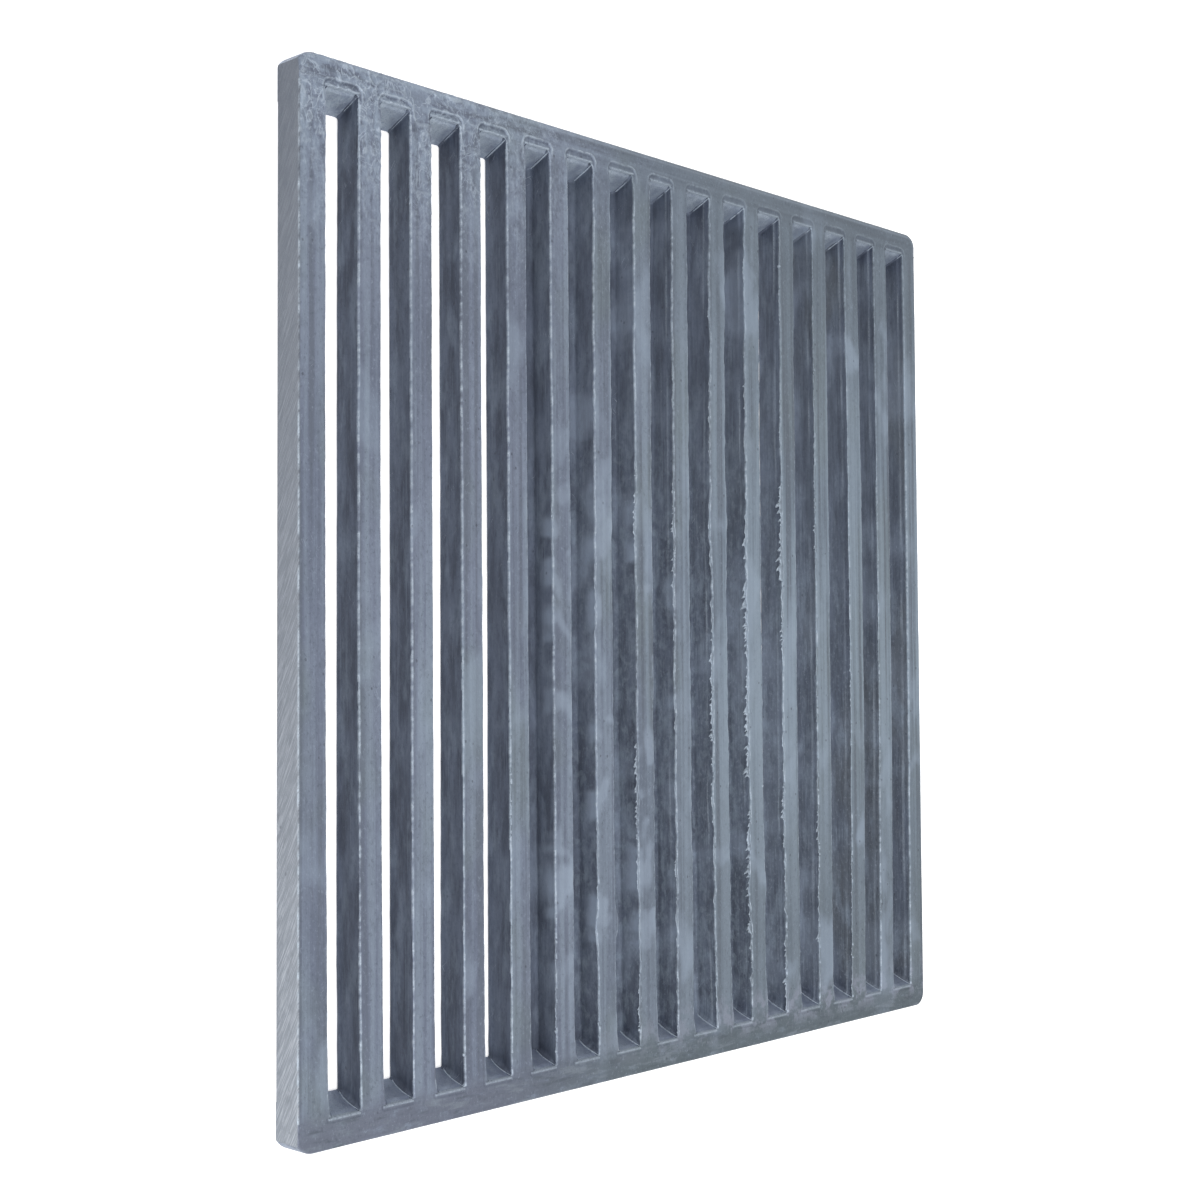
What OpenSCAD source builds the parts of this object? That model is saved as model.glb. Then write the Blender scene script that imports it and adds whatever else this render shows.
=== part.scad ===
// Slotted cast grate: a square panel of parallel bars inside a rim of rails and stiles.
// Units are millimetres. It lies flat on its underside, as in use: X runs across the bars,
// Y runs along the bars towards the head rail, and Z runs up to the upper face.
// The origin is at the middle of the underside.

/* [Panel] */
// Width of the panel, across the bars
panel_w = 300; // [240:1:400]
// Length of the panel, along the bars
panel_l = 300; // [200:1:400]
// Thickness of the casting, from underside to upper face
panel_t = 10; // [6:0.5:16]
// Radius of the four corners of the panel
corner_r = 5; // [1:0.5:7]

/* [Bars] */
// Number of bars between the two stiles
bar_count = 14; // [8:1:18]
// Width of each bar
bar_w = 8.15; // [4:0.05:9]
// Width of the left and right stiles
stile_w = 9.35; // [6:0.05:12]

/* [Rails] */
// Width of the head rail at the upper face
head_rail_w = 8.45; // [8:0.05:20]
// Width of the foot rail at the upper face
foot_rail_w = 8.65; // [8:0.05:20]
// How much wider each rail is at the underside, where its slot-end wall slopes inward
end_slope = 4.6; // [0:0.1:10]

/* [Hidden] */
$fn = 48;
slot_w = (panel_w - 2 * stile_w - bar_count * bar_w) / (bar_count + 1);
slot_pitch = slot_w + bar_w;
head_y = panel_l / 2;
foot_y = -panel_l / 2;

function two_digits(n) = str(n < 10 ? "0" : "", n);
function bar_name(n) = str("bar_", two_digits(n));
// Left side of bar n, counted from the left stile
function bar_x(n) = -panel_w / 2 + stile_w + slot_w + (n - 1) * slot_pitch;

// A length of constant section: an outline in Y and Z, run along X from x0 over width w
module along_x(outline, x0, w) {
    translate([x0, 0, 0])
        rotate([90, 0, 90])
            linear_extrude(w)
                polygon(outline);
}

// What a square corner has beyond its quarter round, as a cutter through the thickness.
// side_x is -1 on the left and 1 on the right, side_y is -1 at the foot and 1 at the head.
module corner_cutter(side_x, side_y) {
    reach = corner_r + 1;
    centre = [side_x * (panel_w / 2 - corner_r), side_y * (panel_l / 2 - corner_r)];
    translate([centre.x, centre.y, -1])
        linear_extrude(panel_t + 2)
            difference() {
                translate([side_x < 0 ? -reach : 0, side_y < 0 ? -reach : 0])
                    square(reach);
                circle(corner_r);
            }
}

// The full-width rail at the head, whose slot-end wall slopes in towards the underside
module head_rail() {
    outline = [
        [head_y, 0],
        [head_y, panel_t],
        [head_y - head_rail_w, panel_t],
        [head_y - head_rail_w - end_slope, 0]
    ];
    color("slategray")
        difference() {
            along_x(outline, -panel_w / 2, panel_w);
            for (side = [-1, 1])
                corner_cutter(side, 1);
        }
}

// The full-width rail at the foot, the same the other way round
module foot_rail() {
    outline = [
        [foot_y, 0],
        [foot_y + foot_rail_w + end_slope, 0],
        [foot_y + foot_rail_w, panel_t],
        [foot_y, panel_t]
    ];
    color("slategray")
        difference() {
            along_x(outline, -panel_w / 2, panel_w);
            for (side = [-1, 1])
                corner_cutter(side, -1);
        }
}

// A lengthwise member that ends flush against the sloping walls of both rails
module lengthwise(x0, w) {
    outline = [
        [foot_y + foot_rail_w + end_slope, 0],
        [head_y - head_rail_w - end_slope, 0],
        [head_y - head_rail_w, panel_t],
        [foot_y + foot_rail_w, panel_t]
    ];
    along_x(outline, x0, w);
}

// The plain side members, with flat outer edges
module left_stile() {
    color("lightslategray")
        lengthwise(-panel_w / 2, stile_w);
}

module right_stile() {
    color("lightslategray")
        lengthwise(panel_w / 2 - stile_w, stile_w);
}

// One of the parallel bars, counted from the left
module bar(n) {
    color("lightsteelblue")
        lengthwise(bar_x(n), bar_w);
}

head_rail();
foot_rail();
left_stile();
right_stile();
for (n = [1:bar_count])
    bar(n);
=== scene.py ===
"""Looks for the slotted cast grate: cast metal members with flash, fillets and a ground edge.

The upper face looks up (+z), the head rail lies at +y, and x runs across the bars from the left
stile. Shapes are worked out in millimetres and turned into metres when a mesh is made.
"""

import math

import bpy
import numpy as np
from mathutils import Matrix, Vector


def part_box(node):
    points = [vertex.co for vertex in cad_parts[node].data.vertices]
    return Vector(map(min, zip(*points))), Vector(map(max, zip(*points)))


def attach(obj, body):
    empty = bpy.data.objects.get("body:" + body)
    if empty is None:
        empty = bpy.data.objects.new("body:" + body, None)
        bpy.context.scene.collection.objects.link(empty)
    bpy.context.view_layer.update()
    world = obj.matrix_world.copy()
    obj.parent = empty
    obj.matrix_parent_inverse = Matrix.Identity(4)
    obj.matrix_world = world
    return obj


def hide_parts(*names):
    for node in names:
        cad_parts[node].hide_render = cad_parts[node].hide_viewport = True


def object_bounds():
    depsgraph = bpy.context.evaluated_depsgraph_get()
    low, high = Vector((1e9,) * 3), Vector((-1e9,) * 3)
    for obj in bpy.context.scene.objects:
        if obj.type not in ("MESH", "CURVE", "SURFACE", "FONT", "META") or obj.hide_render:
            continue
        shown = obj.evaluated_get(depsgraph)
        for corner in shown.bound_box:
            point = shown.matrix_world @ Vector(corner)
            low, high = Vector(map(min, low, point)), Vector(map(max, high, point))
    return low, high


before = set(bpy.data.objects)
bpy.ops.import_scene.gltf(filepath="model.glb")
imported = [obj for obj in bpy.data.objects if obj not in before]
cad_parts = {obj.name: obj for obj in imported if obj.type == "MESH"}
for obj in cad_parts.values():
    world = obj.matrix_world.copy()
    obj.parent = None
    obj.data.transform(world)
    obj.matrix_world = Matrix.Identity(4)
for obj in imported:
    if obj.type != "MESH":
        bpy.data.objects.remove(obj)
cad_bounds = [list(corner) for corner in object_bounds()]

MM = 0.001

# ---------------------------------------- sizes, from the frame

HALF_W, HALF_L, THICK = np.array(cad_bounds[1]) / MM
BARS = sorted(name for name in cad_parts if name.startswith("bar_"))


def node_box(name):
    """A CAD node's lowest and highest corners, in millimetres."""
    low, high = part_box(name)
    return np.array(low) / MM, np.array(high) / MM


BAR_SIDES = [(node_box(name)[0][0], node_box(name)[1][0]) for name in BARS]
LEFT_STILE_IN = node_box("left_stile")[1][0]
RIGHT_STILE_IN = node_box("right_stile")[0][0]
FOOT_FACE_Y = node_box("left_stile")[0][1]
HEAD_FACE_Y = node_box("left_stile")[1][1]
HEAD_SLOPE = HEAD_FACE_Y - node_box("head_rail")[0][1]
FOOT_SLOPE = node_box("foot_rail")[1][1] - FOOT_FACE_Y

# ---------------------------------------- sizes, from the photo

# How far each member's slot sides lie right of their even places, at the head, middle and foot:
# measured in the photo by another script, then condensed and rounded by hand
DRIFT = (
    (0.0, 0.0, 0.9),
    (0.4, 0.2, 1.0),
    (0.0, 0.3, 0.8),
    (0.2, 0.5, 1.0),
    (-0.2, 0.2, 0.7),
    (-1.0, -0.3, 0.3),
    (-0.7, -0.7, 0.2),
    (-0.6, -0.7, 0.1),
    (-1.1, -1.2, -0.7),
    (-0.8, -1.0, 0.2),
    (-1.0, -1.2, -0.2),
    (-0.1, -0.4, 0.0),
    (0.1, 0.4, 0.2),
    (0.6, 1.9, 0.8),
    (0.5, 1.0, -0.2),
    (0.9, 1.3, 0.3),
)
LAST = len(DRIFT) - 1  # the right stile's number; the left stile is 0 and the bars lie between

CORNER_R = 5.0  # the panel's right corners, seen from above
LEFT_CORNER_R = 7.0  # its left ones, of which the ground left edge has taken a slice
LEFT_SLICE = 1.4
FACE_DROP = 0.24  # how far the plain upper face lies under its highest ridges
EDGE_R = 0.42  # rounding of the slots' edges at the upper face
BACK_R = 0.35  # rounding of the slots' edges at the underside
OUTER_R = {"left": 0.2, "right": 0.9, "head": 1.3, "foot": 0.8}  # the outer edges, upper face
OUTER_BACK_R = 0.7  # the rails' outer edges at the underside
FILLET = 0.8  # fillet between a member's side and the head rail, seen from above
FOOT_FILLET = 1.8  # the larger one at the foot rail, at half depth
FACE_FILLET = 0.4  # what that one shrinks to at the upper face and the underside
FOOT_FLARE = 1.1  # how far a right side also flares out on its way to the foot rail
END_TUCK = 0.4  # how far bars and stiles run into the rails under the skin
POCKET_REACH = 2.35  # how far the pocket at a slot's head end reaches onto the rail
POCKET_RIM = 1.05  # how much wider than the slot it is on each side
LEDGE_DEPTH = 2.6  # how far under the upper face a wall's ledge lies
LEDGE_FROM = 8  # the first bar with a ledge
FADE_DEPTH = 2.2  # above this depth a wall follows the upper face's ups and downs
FLASH_STEP = 0.22  # spacing of the points along flash
FLASH_LIMIT = 3.6  # the furthest it stands out
FLASH_THIN = 0.16  # how far its tip lies under the upper face
SKIM = 0.01  # what stays free under the CAD's upper face
END_WALL_PAINTED_LIGHT = {1: 0.60, -1: 0.30}  # painted light on the slot-end walls, head and foot

# Flash along each bar's left edge, from the left: none on the first three, heavy from the seventh
FLASH = (0.0, 0.0, 0.0, 0.15, 0.25, 0.50, 0.85, 1.1, 1.4, 1.6, 1.5, 0.9, 0.5, 0.3)
# Clusters of longer chips: how far up, half the length they take, and how far they stand out
CHIPS = {
    7: ((-52.0, 10.0, 1.2),),
    9: ((-12.0, 6.0, 1.4),),
    10: ((12.0, 15.0, 1.2), (-40.0, 8.0, 1.2)),
    11: ((41.0, 6.0, 3.2), (15.0, 9.5, 3.4)),
}
# How strongly each bar's sides wave, and lumps on them: how far up, how far out, half the length
WAVES = (0.07, 0.08, 0.10, 0.12, 0.18, 0.28, 0.30, 0.34, 0.46, 0.44, 0.32, 0.24, 0.18, 0.12)
LUMPS = {
    6: ((-101.0, 1.2, 4.5),),
    9: ((28.0, 0.7, 7.0), (-62.0, 0.5, 9.0)),
    10: ((-96.0, 0.6, 6.0),),
}
# Small beads of metal: the bar, how far up, how far across its face from -1 to 1, and the radius
NODULES = (
    (3, -132.0, -1.0, 0.55),
    (5, -131.0, -1.0, 0.50),
    (5, -137.0, -1.0, 0.45),
    (7, -136.0, -1.1, 0.50),
    (10, -61.0, 0.8, 0.60),
    (11, 124.0, -1.0, 0.60),
)
# How far flash stands out along the underside of a bar's left side
BACK_FLASH = {1: 0.1, 2: 0.1, 3: 0.1, 4: 0.1, 5: 2.3, 6: 1.9, 7: 1.5, 8: 1.2, 9: 1.0, 10: 0.8}


def drift(number, y):
    """How far a member lies to the right of its even place."""
    head, middle, foot = DRIFT[number]
    t = np.clip(y / HEAD_FACE_Y, -1, 1)
    return middle + (head - foot) / 2 * t + ((head + foot) / 2 - middle) * t**2


def slots_at(y):
    """Each slot's left and right side at the upper face."""
    sides = [LEFT_STILE_IN] + [side for pair in BAR_SIDES for side in pair] + [RIGHT_STILE_IN]
    moved = [side + drift((index + 1) // 2, y) for index, side in enumerate(sides)]
    return np.array(moved).reshape(-1, 2)


HEAD_SLOTS = slots_at(HEAD_FACE_Y)
FOOT_SLOTS = slots_at(FOOT_FACE_Y)

# ---------------------------------------- repeatable noise

TABLE_SIZE = 256
TABLE = np.random.default_rng(11).uniform(-1.0, 1.0, (TABLE_SIZE, TABLE_SIZE))


def smooth(t):
    return t * t * (3 - 2 * t)


def step(low, high, value):
    """0 at low, 1 at high, and a smooth rise between them. high may be the smaller."""
    return smooth(np.clip((value - low) / (high - low), 0.0, 1.0))


def ridge(value, top, width):
    """1 where value is at the top, falling away smoothly within about two widths of it."""
    return np.exp(-(((value - top) / width) ** 2))


def noise2(u, v):
    """Smooth value noise from -1 to 1 over two coordinates."""
    u, v = np.broadcast_arrays(np.asarray(u, float), np.asarray(v, float))
    iu, iv = np.floor(u).astype(int), np.floor(v).astype(int)
    fu, fv = smooth(u - iu), smooth(v - iv)
    u0, u1 = iu % TABLE_SIZE, (iu + 1) % TABLE_SIZE
    v0, v1 = iv % TABLE_SIZE, (iv + 1) % TABLE_SIZE
    low = TABLE[u0, v0] * (1 - fu) + TABLE[u1, v0] * fu
    high = TABLE[u0, v1] * (1 - fu) + TABLE[u1, v1] * fu
    return low * (1 - fv) + high * fv


def layered(u, v, octaves=3):
    """Noise with finer and weaker octaves added."""
    total, weight = 0.0, 1.0
    for octave in range(octaves):
        scale = 2.0**octave
        total = total + weight * noise2(u * scale + 17.3 * octave, v * scale + 5.1 * octave)
        weight *= 0.5
    return total


# ---------------------------------------- the casting's surfaces


def head_wall(z):
    """Where the head rail's slot-end wall lies at a height."""
    return HEAD_FACE_Y - HEAD_SLOPE * (THICK - z) / THICK


def foot_wall(z):
    """Where the foot rail's slot-end wall lies at a height."""
    return FOOT_FACE_Y + FOOT_SLOPE * (THICK - z) / THICK


def rounding(depth, radius):
    """How far a rounded edge lies under its face, by the depth in from its side."""
    inside = np.clip(radius - depth, 0.0, radius)
    return radius - np.sqrt(np.maximum(radius**2 - inside**2, 0.0))


def outline_depth(x, y):
    """Distance in from the panel's outline, and how far that outline faces sideways (0 to 1)."""
    ax, ay = np.abs(x), np.abs(y)
    radius = np.where(x < 0, LEFT_CORNER_R, CORNER_R)
    slice_off = np.where(x < 0, LEFT_SLICE, 0.0)
    past_x, past_y = ax - (HALF_W - radius + slice_off), ay - (HALF_L - radius)
    in_corner = (past_x > 0) & (past_y > 0)
    reach = np.hypot(past_x, past_y)
    straight_in = np.minimum(HALF_W - ax, HALF_L - ay)
    depth = np.where(in_corner, np.minimum(radius - reach, HALF_W - ax), straight_in)
    straight = (HALF_W - ax < HALF_L - ay).astype(float)
    sideways = np.where(in_corner, past_x**2 / np.maximum(reach**2, 1e-9), straight)
    return np.maximum(depth, 0.0), sideways


def rounded_box(x, y, half_x, half_y, radius):
    """Signed distance to a rounded rectangle about the origin, negative inside."""
    qx, qy = np.abs(x) - half_x + radius, np.abs(y) - half_y + radius
    outside = np.hypot(np.maximum(qx, 0), np.maximum(qy, 0))
    return outside + np.minimum(np.maximum(qx, qy), 0) - radius


def nearest_slot(slots, x):
    """The nearest slot's number from 0, its half width, and the distance right of its middle."""
    middles, halves = slots.mean(1), np.diff(slots)[:, 0] / 2
    number = np.abs(np.asarray(x)[..., None] - middles).argmin(-1)
    return number, halves[number], x - middles[number]


def mouth_wobble(x, y):
    """How far the outline of the marks at a slot's ends strays from an even one."""
    number = nearest_slot(HEAD_SLOTS, x)[0]
    return 0.25 * noise2(number * 3.7, y * 0.3) + 0.13 * noise2(x * 0.45, number * 1.3)


def head_mouths(x, y):
    """The shallow pocket with a beaded rim at each slot's head end, fainter from the fifth slot
    on: its rise, a painted highlight on the bead and lip, and painted shade in the groove and
    the pocket."""
    number, half, dx = nearest_slot(HEAD_SLOTS, x)
    fray = noise2(x * 1.6, y * 1.6)
    reach = POCKET_REACH + 0.35 * noise2(number * 1.9 + 3.3, 0.5)
    half_y = 7.5
    d = rounded_box(dx, y - (HEAD_FACE_Y + reach - half_y), half + POCKET_RIM, half_y, 2.4)
    d = d + mouth_wobble(x, y) + 0.10 * fray
    down = step(HEAD_FACE_Y - 4.2, HEAD_FACE_Y - 0.6, y)
    pocket = (1 - step(-0.6, 0.0, d)) * down
    bead = ridge(d, 0.20, 0.21) * step(HEAD_FACE_Y - 3.4, HEAD_FACE_Y, y)
    bead = bead * (0.85 + 0.75 * noise2(x * 0.9, y * 0.9 + number))
    groove = ridge(d, -0.42, 0.26) * down
    lip = ridge(y, HEAD_FACE_Y + 0.45, 0.28) * (np.abs(dx) < half + 0.2) * (1 + 0.5 * fray)
    faint = 1 - 0.7 * step(4.0, 9.0, number)
    rise = (-0.40 * pocket + 0.15 * bead + 0.28 * lip) * faint - 0.10 * groove
    # The bead and lip get a painted highlight; the groove and the pocket get painted shade
    painted_bright = 0.90 * (bead + lip) * faint
    return rise, painted_bright, 0.45 * groove * faint + 0.38 * pocket


def foot_mouths(x, y):
    """The crease at each slot's foot end, with a painted highlight on its lip and painted shade
    along its edge, in the same three values.
    """
    _, half, dx = nearest_slot(FOOT_SLOTS, x)
    fray = noise2(x * 1.6, y * 1.6)
    half_y = 7.0
    d = rounded_box(dx, y - (FOOT_FACE_Y - 1.5 + half_y), half + 0.7, half_y, 1.0)
    d = d + 0.7 * mouth_wobble(x, y)
    past = 1 - step(FOOT_FACE_Y - 0.5, FOOT_FACE_Y + 2.0, y)
    crease = (1 - step(-0.4, 0.1, d)) * past
    line = ridge(d, 0.0, 0.22) * past
    lip = ridge(y, FOOT_FACE_Y - 0.5, 0.26) * (np.abs(dx) < half)
    # A painted highlight on the lip, and painted shade along the crease's edge
    return 0.22 * lip - 0.15 * crease, 0.7 * lip * (1 + 0.4 * fray), 0.35 * line


def wrinkles(x, y):
    """Folds in the skin near the head's left corner."""
    patch = step(-10.0, -120.0, x) * step(80.0, 135.0, y)
    folds = 1 - np.abs(layered(x / 3.6 + 0.9 * noise2(x / 6, y / 6), y / 3.0))
    return 0.30 * patch * np.maximum(folds - 0.78, 0.0) / 0.22


def face_height(x, y):
    """Height of the upper face away from the panel's outer edge."""
    height = -FACE_DROP + 0.05 * layered(x / 9.0, y / 14.0) + 0.02 * noise2(x / 1.3, y / 1.7)
    height = height + head_mouths(x, y)[0] + foot_mouths(x, y)[0] + wrinkles(x, y)
    return THICK + np.minimum(height, -0.004)


def face_marks(x, y):
    """Where the upper face is painted brighter (painted highlights at the slots' ends, and the
    folds near the head's left corner) and where it gets painted shade, from 0 to 1.
    """
    _, head_painted_bright, head_painted_dark = head_mouths(x, y)
    _, foot_painted_bright, foot_painted_dark = foot_mouths(x, y)
    painted_bright = head_painted_bright + foot_painted_bright + 1.8 * wrinkles(x, y)
    return np.clip(painted_bright, 0, 1), np.clip(head_painted_dark + foot_painted_dark, 0, 1)


def outer_rounding(x, y):
    """How far the panel's rounded outer edge lies under the upper face."""
    depth, sideways = outline_depth(x, y)
    left = OUTER_R["left"] + 0.12 * noise2(y / 1.4, 2.0) + 0.05 * noise2(y / 0.6, 7.0)
    side_r = np.where(x < 0, left, OUTER_R["right"])
    end_r = np.where(y < 0, OUTER_R["foot"], OUTER_R["head"])
    return rounding(depth, side_r * sideways + end_r * (1 - sideways))


def follow_face(x, y, z):
    """Heights lowered so that the top of a wall meets the uneven upper face."""
    return z - (THICK - face_height(x, y)) * step(THICK - FADE_DEPTH, THICK - 0.5, z)


# ---------------------------------------- meshes


class Solid:
    """Closed shells gathered into one mesh, with a value of each attribute at every point."""

    ATTRIBUTES = ("wall", "ground", "wear")

    def __init__(self):
        self.points, self.faces, self.values, self.count = [], [], [], 0

    def shell(self, rings, **values):
        """Adds a closed shell from rings of points (ring, point, xyz), capped at both ends."""
        turns, around = rings.shape[:2]
        here = np.arange(around)
        following = (here + 1) % around
        base = np.arange(turns - 1)[:, None] * around
        quads = np.stack(
            [base + here, base + following, base + around + following, base + around + here], -1
        ).reshape(-1, 4)
        caps = [here[::-1], here + (turns - 1) * around]
        if self.inside_out(rings):
            quads = quads[:, ::-1]
            caps = [cap[::-1] for cap in caps]
        self.faces += (quads + self.count).tolist()
        self.faces += [(cap + self.count).tolist() for cap in caps]
        self.points.append(rings.reshape(-1, 3))
        keys = self.ATTRIBUTES
        rows = [np.broadcast_to(values.get(key, 0.0), (turns, around)).ravel() for key in keys]
        self.values.append(np.stack(rows, -1))
        self.count += turns * around

    @staticmethod
    def inside_out(rings):
        """Whether the rings turn so that the faces between them would look inwards."""
        middle = rings[len(rings) // 2]
        onwards = rings[len(rings) // 2 + 1].mean(0) - middle.mean(0)
        spokes = middle - middle.mean(0)
        turn = np.cross(spokes, np.roll(spokes, -1, 0)).sum(0)
        return float(turn @ onwards) < 0

    def build(self, name, material):
        """Makes the mesh object: smooth all over, but for the flat end caps."""
        mesh = bpy.data.meshes.new(name)
        points = np.concatenate(self.points) * MM
        mesh.from_pydata(points.tolist(), [], self.faces)
        values = np.concatenate(self.values)
        for column, key in enumerate(self.ATTRIBUTES):
            layer = mesh.attributes.new(key, "FLOAT", "POINT")
            layer.data.foreach_set("value", np.ascontiguousarray(values[:, column], np.float32))
        mesh.shade_smooth()
        for polygon in mesh.polygons:
            if len(polygon.vertices) > 4:
                polygon.use_smooth = False
        mesh.materials.append(material)
        piece = bpy.data.objects.new(name, mesh)
        bpy.context.scene.collection.objects.link(piece)
        return piece


# ---------------------------------------- stiles and bars


def foot_fillet(z):
    """Radius of the fillet between a member's side and the foot rail, largest at half depth."""
    swell = np.sin(math.pi * np.clip(z / THICK, 0, 1))
    return FACE_FILLET + (FOOT_FILLET - FACE_FILLET) * swell


class Side:
    """How one side of a member strays from its straight line."""

    def __init__(self, seed, wave=0.08, ledge=0.0, foot_flare=0.0, back_flash=0.0, lumps=()):
        self.seed, self.wave, self.ledge = seed, wave, ledge
        self.foot_flare, self.back_flash, self.lumps = foot_flare, back_flash, lumps

    def ledge_level(self, y):
        """Height of the ledge under which the wall stands further out."""
        return THICK - LEDGE_DEPTH - 0.25 * noise2(y / 40.0, self.seed + 9.0)

    def out(self, y, z):
        """Distance outwards from the nominal side."""
        high = np.clip(z / THICK, 0, 1)
        stray = self.wave * (0.35 + 0.65 * high) * layered(y / 17.0 + self.seed, self.seed * 1.7)
        stray = stray + 0.8 * self.wave * high**4 * layered(y / 3.1 - self.seed, self.seed, 2)
        stray = stray - 0.05 * noise2(y / 3.0, z / 2.5 + self.seed)
        level = self.ledge_level(y)
        stray = stray + self.ledge * (1 - step(level - 0.18, level + 0.18, z))
        if self.back_flash:
            reach = self.back_flash + 0.6 * step(40.0, -140.0, y)
            ragged = 1 + 0.12 * noise2(y / 6.0, self.seed + 4.0)
            stray = stray + reach * (1 - step(0.5, 1.8, z)) * ragged
        for at, size, spread in self.lumps:
            stray = stray + size * high * ridge(y, at, spread)
        stray = stray + rounding(np.maximum(head_wall(z) - y, 0), FILLET)
        above_foot = np.maximum(y - foot_wall(z), 0)
        stray = stray + self.foot_flare * np.exp(-above_foot / 3.5)
        return stray + rounding(above_foot, foot_fillet(z))


def arc(radius, start, stop, count):
    """Points of an arc about the origin, by angle in degrees."""
    angles = np.radians(np.linspace(start, stop, count))
    return np.stack([radius * np.cos(angles), radius * np.sin(angles)], -1)


def inner_shares(start, stop, count):
    """Even steps from start to stop without the two ends."""
    return np.linspace(start, stop, count)[1:-1]


def member_section(left_r, right_r):
    """A member's section, anticlockwise from its lower left: rows of the share of the way from
    its left side to its right side, an offset in x, and z."""
    rows = []

    def corner(share, radius, z_centre, start, stop, count):
        inward = radius if share == 0 else -radius
        for dx, dz in arc(radius, start, stop, count):
            rows.append((share, dx + inward, z_centre + dz))

    corner(0, BACK_R, BACK_R, 180, 270, 4)
    for f in inner_shares(0, 1, 8):
        rows.append((f, BACK_R * (1 - 2 * f), 0.0))
    corner(1, BACK_R, BACK_R, 270, 360, 4)
    for f in inner_shares(0, 1, 13):
        rows.append((1, 0.0, BACK_R + f * (THICK - BACK_R - right_r)))
    corner(1, right_r, THICK - right_r, 0, 90, 5)
    for f in inner_shares(1, 0, 25):
        rows.append((f, left_r * (1 - f) - right_r * f, THICK))
    corner(0, left_r, THICK - left_r, 90, 180, 5)
    for f in inner_shares(1, 0, 21):
        rows.append((0, 0.0, BACK_R + f * (THICK - BACK_R - left_r)))
    return np.array(rows)


def member_stations():
    """Where a member's rings lie, from 0 at the foot wall to 1 at the head wall."""
    length = HEAD_FACE_Y - FOOT_FACE_Y
    near = np.concatenate([[0.0], np.cumsum(np.linspace(0.12, 0.6, 22))])
    middle = np.linspace(near[-1], length - near[-1], 400)
    return np.concatenate([near[:-1], middle, length - near[:-1][::-1]]) / length


def member(number, left, right, left_side, right_side, grime=1.0):
    """A stile or a bar. A side that is None is the panel's own outer edge, and stays straight."""
    left_r = EDGE_R if left_side else OUTER_R["left"]
    right_r = EDGE_R if right_side else OUTER_R["right"]
    share, offset, z = member_section(left_r, right_r).T
    stations = member_stations()[:, None]
    on_left, on_side = share < 0.5, np.abs(share - 0.5) > 0.49
    outside = (on_left & (not left_side)) | (~on_left & (not right_side))

    # The rings run from wall to wall, a little into the rails except at the skin
    tucked = END_TUCK * step(THICK - 0.5, THICK - 1.1, z) * step(0.0, 0.5, z) * ~outside
    y = (foot_wall(z) - tucked) * (1 - stations) + (head_wall(z) + tucked) * stations
    z = np.broadcast_to(z, y.shape)
    x_left = left + (drift(number, y) - left_side.out(y, z) if left_side else 0.0)
    x_right = right + (drift(number, y) + right_side.out(y, z) if right_side else 0.0)
    x = x_left * (1 - share) + x_right * share + offset

    # A bar's face is slightly hollow between its edges
    across = 2 * (x - left) / (right - left) - 1
    from_ends = np.minimum(head_wall(z) - y, y - foot_wall(z))
    hollow = 0.16 if left_side and right_side else 0.0
    hollowed = hollow * (1 - across**2) * step(0.5, 9.0, from_ends)
    lowered = hollowed * step(THICK - FADE_DEPTH, THICK - 0.5, z)
    rings = np.stack([x, y, follow_face(x, y, z) - lowered], -1)

    # Its edges are rubbed bare in places, less so at the head on the right
    on_top_edge = on_side & ~outside & (rings[..., 2] > THICK - 0.72)
    bare = np.where(on_left, 0.36, 0.12) + 0.55 * layered(y / 1.1, number * 3.1 + 9 * on_left)
    bare = bare * (1 - 0.6 * step(20.0, 100.0, y) * step(-20.0, 50.0, x))
    # Painted highlights and painted shade of the upper face at the slots' ends, from face_marks
    painted_bright, painted_dark = face_marks(x, y)
    on_top = (z == THICK) & ~on_side
    on_rim = outside & on_left & on_side & (z > THICK - OUTER_R["left"] - 0.05)
    rim = on_rim * np.maximum(0.40 + 0.50 * layered(y / 2.0, 3.0), 0)
    wear = np.maximum(bare, 0) * on_top_edge + painted_bright * (on_top | on_top_edge) + rim
    if left_side and left_side.ledge:
        from_ledge = rings[..., 2] - left_side.ledge_level(y) + 0.2
        shine = np.clip(0.35 + 0.6 * noise2(y / 12.0, number * 2.2), 0, 1)
        wear = wear + 0.55 * shine * (on_side & on_left) * ridge(from_ledge, 0.0, 0.28)

    wall = grime * (on_side & ~outside & ~on_top_edge) + painted_dark * on_top
    wall = wall * np.where(on_left, 1.0, step(0.3, 2.2, y - foot_wall(z)))
    ground = (on_side & on_left & outside).astype(float)
    solid = Solid()
    solid.shell(rings, wall=np.clip(wall, 0, 1), ground=ground, wear=np.clip(wear, 0, 1))
    return solid


# ---------------------------------------- flash, beads and nodules


def flash_reach(y, amount, seed, chips):
    """How far flash stands out along an edge: scalloped, spiky in patches, thinner at the head,
    with clusters of longer chips."""
    patch = step(-0.25, 0.4, noise2(y / 20.0 + seed, seed * 0.7))
    scallop = layered(y / 3.4 + seed * 3, seed)
    spikes = np.maximum(layered(y / 0.8 + seed * 7, seed + 2.0), 0.0) ** 1.2
    out = amount * (0.12 + 0.62 * scallop + patch * (0.15 + 1.35 * spikes))
    out = out * (1 - 0.75 * step(15.0, 95.0, y))
    teeth = np.maximum(layered(y / 1.5 + seed * 5, seed + 3.0, 2), 0.0) ** 0.8
    for at, spread, reach in chips:
        out = out + reach * np.exp(-(((y - at) / spread) ** 4)) * (0.25 + 1.5 * teeth)
    return np.minimum(out, FLASH_LIMIT)


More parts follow.
